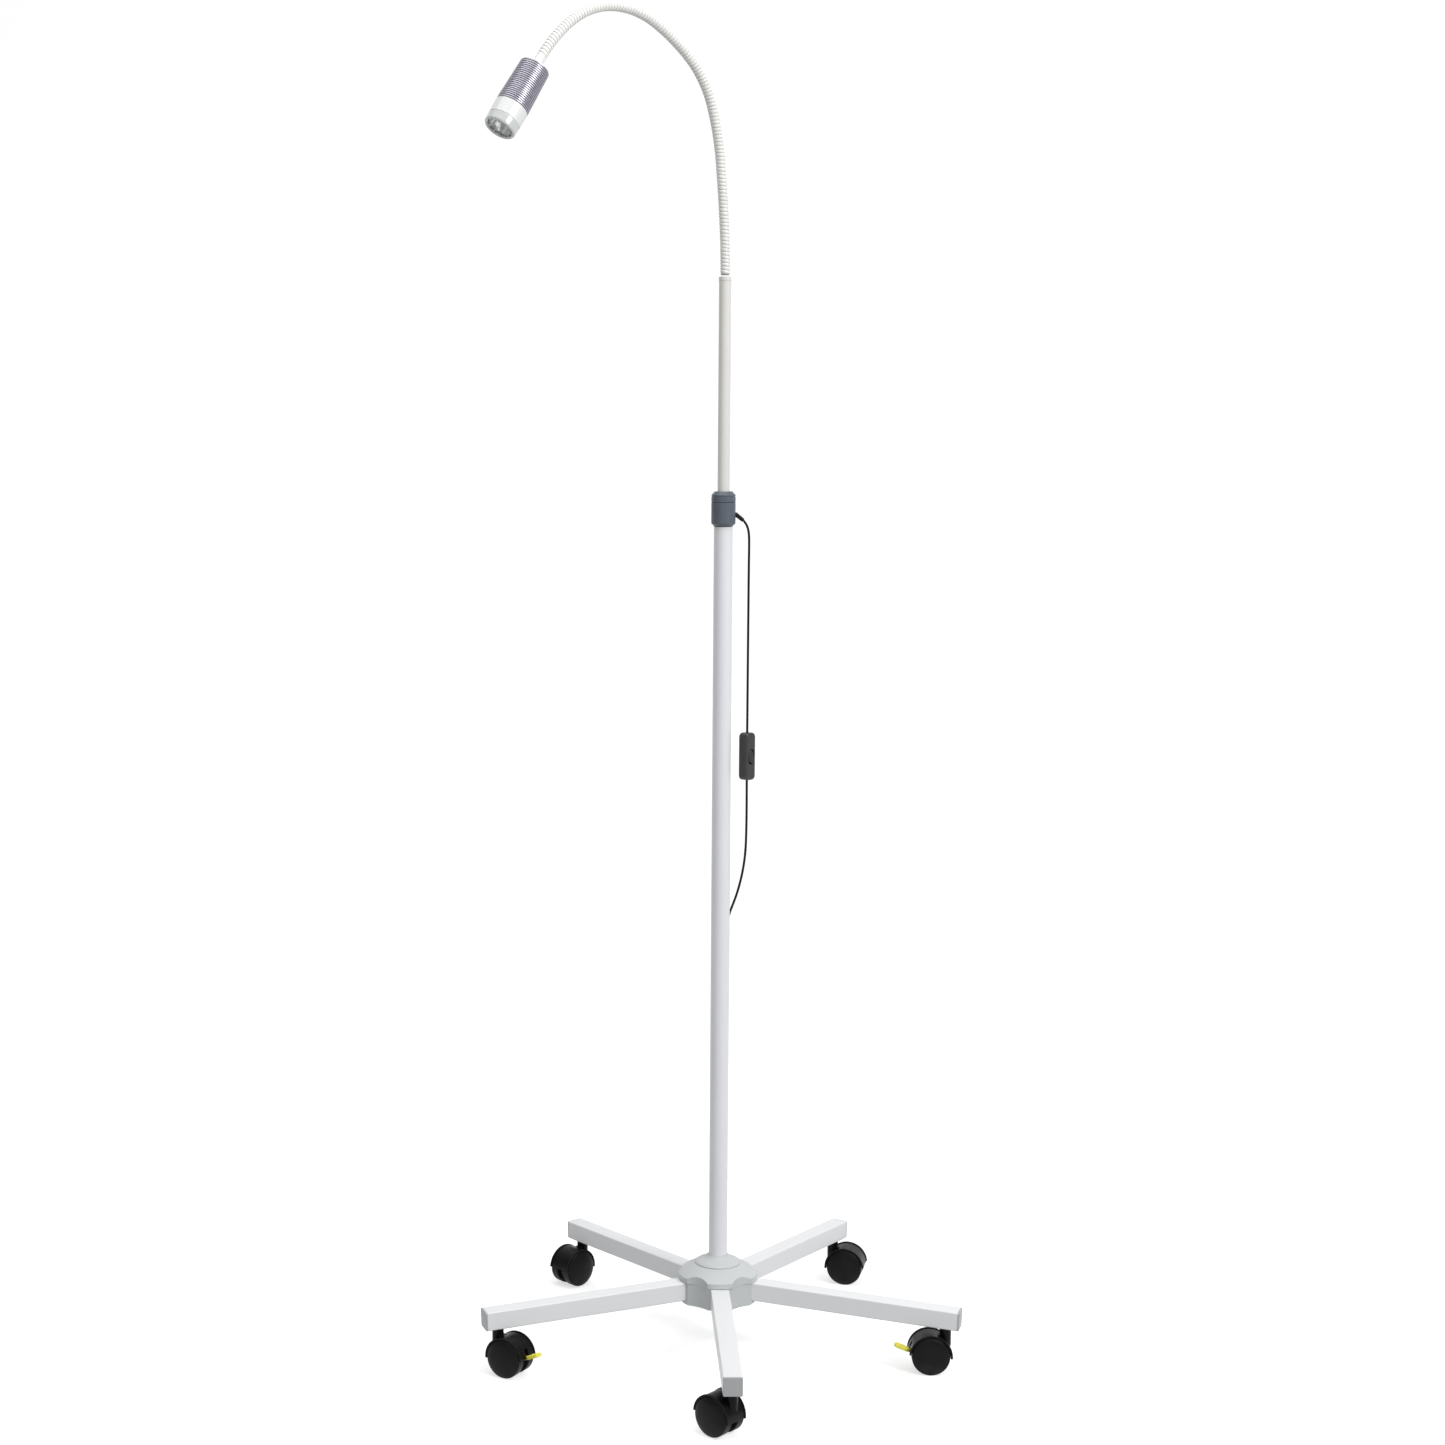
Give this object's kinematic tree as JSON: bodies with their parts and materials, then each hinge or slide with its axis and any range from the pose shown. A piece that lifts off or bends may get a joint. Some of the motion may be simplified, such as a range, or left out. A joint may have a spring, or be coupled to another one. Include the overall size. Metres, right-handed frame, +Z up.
{
  "type": "examination lamp",
  "caption": "Mobile examination lamp with a caster star base, a two-stage pole, a bendable gooseneck and a small ribbed cylindrical light head.",
  "frame": {"origin": "on the floor under the pole's axis", "axes": "+Z up along the pole, -Y along the front leg"},
  "size_m": [0.6414, 0.6101, 1.7729],
  "materials": {
    "white_powder": "smooth white powder coat",
    "cream_tube": "smooth off-white lacquer",
    "gooseneck_white": "ribbed off-white sleeve",
    "hub_grey": "light grey moulding",
    "cap_white": "light moulding",
    "coupler_slate": "slate grey satin",
    "caster_black": "fine-grained black",
    "tread_black": "black tread",
    "brake_yellow": "yellow moulding",
    "zinc_steel": "zinc plated",
    "sink_lavender": "anodised grey lavender",
    "head_white": "satin white",
    "front_clear": "glossy pale ring",
    "lens_clear": "clear",
    "mirror_cup": "vacuum metallised",
    "led_board": "dark board with a light source",
    "cord_black": "matte black sheath",
    "switch_black": "moulded black",
    "pin_nickel": "nickel-plated pins"
  },
  "bodies": {
    "base": {"hub_body": "hub_grey", "hub_cover": "hub_grey", "pole_rosette": "hub_grey", "leg_screws": "zinc_steel", "pole_bolt": "zinc_steel", "leg_front": "white_powder", "leg_right_front": "white_powder", "leg_right_back": "white_powder", "leg_left_back": "white_powder", "leg_left_front": "white_powder", "leg_end_caps": "cap_white", "caster_stems": "zinc_steel", "lower_pole": "white_powder", "pole_bushing": "cap_white", "coupler_body": "coupler_slate", "strain_relief": "cord_black", "cord_upper": "cord_black", "cord_lower": "cord_black", "cord_coil": "cord_black", "switch_base": "switch_black", "switch_cover": "switch_black", "plug_body": "switch_black", "plug_pins": "pin_nickel", "cord_clips": "cord_black"},
    "caster_front": {"caster_housing_front": "caster_black"},
    "wheels_front": {"caster_wheels_front": "tread_black", "caster_axle_front": "zinc_steel"},
    "caster_right_front": {"caster_housing_right_front": "caster_black"},
    "wheels_right_front": {"caster_wheels_right_front": "tread_black", "caster_axle_right_front": "zinc_steel"},
    "caster_right_back": {"caster_housing_right_back": "caster_black"},
    "wheels_right_back": {"caster_wheels_right_back": "tread_black", "caster_axle_right_back": "zinc_steel"},
    "caster_left_back": {"caster_housing_left_back": "caster_black"},
    "wheels_left_back": {"caster_wheels_left_back": "tread_black", "caster_axle_left_back": "zinc_steel"},
    "caster_left_front": {"caster_housing_left_front": "caster_black"},
    "wheels_left_front": {"caster_wheels_left_front": "tread_black", "caster_axle_left_front": "zinc_steel"},
    "brake_right_front": {"brake_lever_right_front": "brake_yellow"},
    "brake_left_front": {"brake_lever_left_front": "brake_yellow"},
    "clamp": {"clamp_ring": "coupler_slate"},
    "switch": {"switch_rocker": "switch_black"},
    "mast": {"upper_tube": "cream_tube"},
    "neck_1": {"neck_link_1": "gooseneck_white"},
    "neck_2": {"neck_link_2": "gooseneck_white"},
    "neck_3": {"neck_link_3": "gooseneck_white"},
    "neck_4": {"neck_link_4": "gooseneck_white"},
    "neck_5": {"neck_link_5": "gooseneck_white"},
    "neck_6": {"neck_link_6": "gooseneck_white"},
    "neck_7": {"neck_link_7": "gooseneck_white"},
    "neck_8": {"neck_link_8": "gooseneck_white"},
    "head": {"head_rear_cap": "head_white", "heat_sink": "sink_lavender", "front_barrel": "head_white", "front_ring": "front_clear", "lens": "lens_clear", "reflector": "mirror_cup", "led_board": "led_board"}
  },
  "joints": [
    {"name": "swivel_front", "type": "hinge", "parent": "base", "child": "caster_front", "pos_m": [0, -0.313, 0.05], "axis": [0, 0, 1], "continuous": true},
    {"name": "roll_front", "type": "hinge", "parent": "caster_front", "child": "wheels_front", "pos_m": [-0.01439, -0.29911, 0.0255], "axis": [-0.6947, -0.7193, 0], "continuous": true},
    {"name": "swivel_right_front", "type": "hinge", "parent": "base", "child": "caster_right_front", "pos_m": [0.29768, -0.09672, 0.05], "axis": [0, 0, 1], "continuous": true},
    {"name": "roll_right_front", "type": "hinge", "parent": "caster_right_front", "child": "wheels_right_front", "pos_m": [0.27769, -0.09602, 0.0255], "axis": [-0.0349, -0.9994, 0], "continuous": true},
    {"name": "swivel_right_back", "type": "hinge", "parent": "base", "child": "caster_right_back", "pos_m": [0.18398, 0.25322, 0.05], "axis": [0, 0, 1], "continuous": true},
    {"name": "roll_right_back", "type": "hinge", "parent": "caster_right_back", "child": "wheels_right_back", "pos_m": [0.2032, 0.24771, 0.0255], "axis": [0.2756, 0.9613, 0], "continuous": true},
    {"name": "swivel_left_back", "type": "hinge", "parent": "base", "child": "caster_left_back", "pos_m": [-0.18398, 0.25322, 0.05], "axis": [0, 0, 1], "continuous": true},
    {"name": "roll_left_back", "type": "hinge", "parent": "caster_left_back", "child": "wheels_left_back", "pos_m": [-0.1986, 0.23958, 0.0255], "axis": [0.682, -0.7314, 0], "continuous": true},
    {"name": "swivel_left_front", "type": "hinge", "parent": "base", "child": "caster_left_front", "pos_m": [-0.29768, -0.09672, 0.05], "axis": [0, 0, 1], "continuous": true},
    {"name": "roll_left_front", "type": "hinge", "parent": "caster_left_front", "child": "wheels_left_front", "pos_m": [-0.28091, -0.10762, 0.0255], "axis": [0.5446, 0.8387, 0], "continuous": true},
    {"name": "brake_right_front", "type": "hinge", "parent": "caster_right_front", "child": "brake_right_front", "pos_m": [0.2602, -0.09541, 0.0245], "axis": [-0.0349, -0.9994, 0], "range_deg": [0, 18]},
    {"name": "brake_left_front", "type": "hinge", "parent": "caster_left_front", "child": "brake_left_front", "pos_m": [-0.26623, -0.11715, 0.0245], "axis": [0.5446, 0.8387, 0], "range_deg": [0, 18]},
    {"name": "clamp_turn", "type": "hinge", "parent": "base", "child": "clamp", "pos_m": [0, 0, 1.158], "axis": [0, 0, 1], "range_deg": [0, 90]},
    {"name": "rocker_press", "type": "hinge", "parent": "base", "child": "switch", "pos_m": [0.03617, -0.00229, 0.8143], "axis": [0.6947, 0.7193, 0], "range_deg": [0, 18]},
    {"name": "tube_swivel", "type": "hinge", "parent": "base", "child": "mast", "pos_m": [0, 0, 1.2], "axis": [0, 0, 1], "range_deg": [-160, 160]},
    {"name": "neck_side_bend", "type": "hinge", "parent": "mast", "child": "neck_1", "pos_m": [0, 0, 1.4455], "axis": [-0.766, -0.6428, 0], "range_deg": [-20, 20]},
    {"name": "neck_bend_1", "type": "hinge", "parent": "neck_1", "child": "neck_2", "pos_m": [-0.00214, -0.00179, 1.51643], "axis": [0.6428, -0.766, 0], "range_deg": [-24, 6]},
    {"name": "neck_bend_2", "type": "hinge", "parent": "neck_2", "child": "neck_3", "pos_m": [-0.00735, -0.00617, 1.5871], "axis": [0.6428, -0.766, 0], "range_deg": [-24, 6]},
    {"name": "neck_bend_3", "type": "hinge", "parent": "neck_3", "child": "neck_4", "pos_m": [-0.01933, -0.01622, 1.65621], "axis": [0.6428, -0.766, 0], "range_deg": [-24, 6]},
    {"name": "neck_bend_4", "type": "hinge", "parent": "neck_4", "child": "neck_5", "pos_m": [-0.04958, -0.0416, 1.71421], "axis": [0.6428, -0.766, 0], "range_deg": [-24, 6]},
    {"name": "neck_bend_5", "type": "hinge", "parent": "neck_5", "child": "neck_6", "pos_m": [-0.09506, -0.07977, 1.75276], "axis": [0.6428, -0.766, 0], "range_deg": [-24, 6]},
    {"name": "neck_bend_6", "type": "hinge", "parent": "neck_6", "child": "neck_7", "pos_m": [-0.14788, -0.12409, 1.76617], "axis": [0.6428, -0.766, 0], "range_deg": [-24, 6]},
    {"name": "neck_bend_7", "type": "hinge", "parent": "neck_7", "child": "neck_8", "pos_m": [-0.19849, -0.16655, 1.74277], "axis": [0.6428, -0.766, 0], "range_deg": [-24, 6]},
    {"name": "head_side_bend", "type": "hinge", "parent": "neck_8", "child": "head", "pos_m": [-0.23695, -0.19882, 1.69301], "axis": [-0.6197, -0.52, 0.5878], "range_deg": [-20, 20]}
  ]
}
